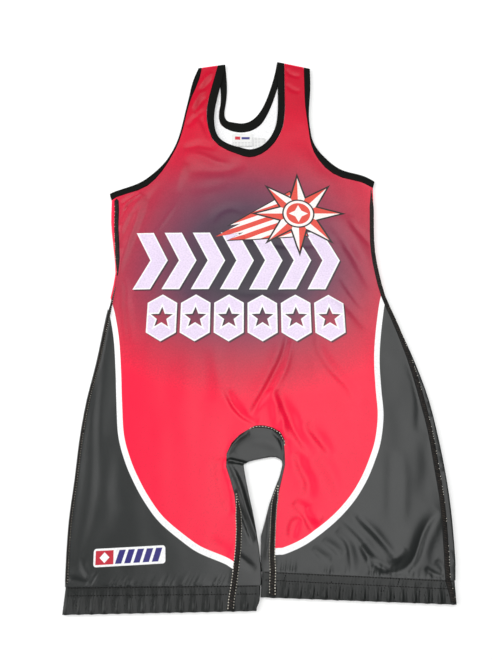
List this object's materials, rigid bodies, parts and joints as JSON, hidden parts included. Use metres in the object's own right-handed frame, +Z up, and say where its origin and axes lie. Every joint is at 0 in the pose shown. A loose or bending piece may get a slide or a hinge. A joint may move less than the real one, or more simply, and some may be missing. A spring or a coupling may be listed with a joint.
{
  "type": "wrestling singlet",
  "caption": "Sleeveless wrestling singlet laid flat, front up, with bound neck and armholes, a printed front, dark curved sides, a crotch gusset and gathered leg bands.",
  "frame": {"origin": "middle of the garment's outline, on the surface it lies on", "axes": "+Y from the legs to the shoulders, +X to the right of someone looking down at the front, +Z up out of the front"},
  "size_m": [0.4113, 0.7155, 0.0085],
  "materials": {
    "printed_lycra": "smooth knitted lycra with a soft sheen, printed red, plum and charcoal",
    "back_lycra": "smooth knitted lycra, printed outside, white inside",
    "black_lycra": "smooth black lycra with a soft sheen",
    "binding": "matt black folded binding",
    "label": "white satin ribbon, blank"
  },
  "bodies": {
    "root": {"front_panel": "printed_lycra", "back_panel": "back_lycra", "crotch_gusset": "black_lycra", "left_leg_band": "black_lycra", "right_leg_band": "black_lycra", "neck_binding": "binding", "left_armhole_binding": "binding", "right_armhole_binding": "binding", "neck_label": "label", "care_label": "label"}
  },
  "joints": []
}
